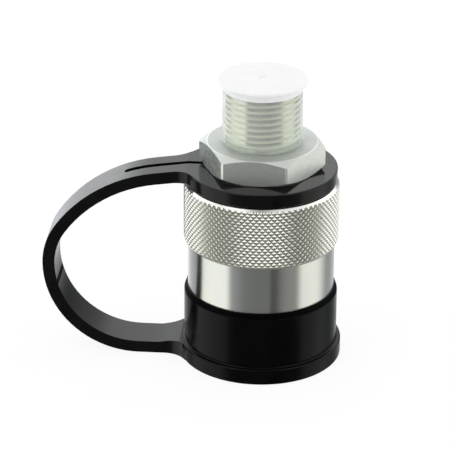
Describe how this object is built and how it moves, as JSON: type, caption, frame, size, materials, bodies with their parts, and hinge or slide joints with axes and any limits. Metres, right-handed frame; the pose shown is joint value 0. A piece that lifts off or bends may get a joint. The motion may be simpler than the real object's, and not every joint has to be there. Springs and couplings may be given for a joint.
{
  "type": "hydraulic quick coupler",
  "caption": "Screw-on hydraulic coupler half: knurled turning sleeve, hexagon and threaded stud with push-on protector, standing in a black rubber dust cap whose strap loops up to a neck ring.",
  "frame": {"origin": "on the coupler's axis, in the flat face of the dust cap that the coupler stands on", "axes": "+Z along the coupler's axis from the dust cap to the threaded stud, -X towards the dust cap's strap loop"},
  "size_m": [0.0736, 0.04, 0.0724],
  "materials": {
    "black_rubber": "satin moulded black rubber",
    "plated_steel": "turned steel with bright zinc plating",
    "valve_steel": "turned, unplated steel",
    "spring_steel": "drawn spring wire",
    "seal_rubber": "smooth seal rubber",
    "white_polymer": "machined white bearing plastic",
    "clear_polyethylene": "natural translucent moulded polyethylene"
  },
  "bodies": {
    "coupler": {"socket_body": "plated_steel", "rear_adapter": "plated_steel", "sleeve_circlip": "spring_steel", "thrust_ring": "white_polymer", "sleeve_wiper": "seal_rubber", "nose_seal": "seal_rubber", "nose_backup_ring": "white_polymer", "valve_spring": "spring_steel", "valve_guide": "valve_steel", "adapter_seal": "seal_rubber"},
    "sleeve": {"coupling_sleeve": "plated_steel"},
    "cap": {"dust_cap": "black_rubber"},
    "valve": {"poppet": "valve_steel", "poppet_seal": "seal_rubber"},
    "protector": {"thread_protector": "clear_polyethylene"}
  },
  "joints": [
    {"name": "sleeve_turn", "type": "hinge", "parent": "coupler", "child": "sleeve", "pos_m": [0, 0, 0.0385], "axis": [0, 0, 1], "continuous": true},
    {"name": "cap_turn", "type": "hinge", "parent": "coupler", "child": "cap", "pos_m": [0, 0, 0.0481], "axis": [0, 0, 1], "continuous": true},
    {"name": "poppet_slide", "type": "slide", "parent": "coupler", "child": "valve", "axis": [0, 0, 1], "range_m": [0, 0.0055], "stiffness_N_per_m": 2000, "springref_m": -0.008, "deforming": ["valve_spring"]},
    {"name": "protector_pull", "type": "slide", "parent": "coupler", "child": "protector", "axis": [0, 0, 1], "range_m": [0, 0.018]}
  ]
}
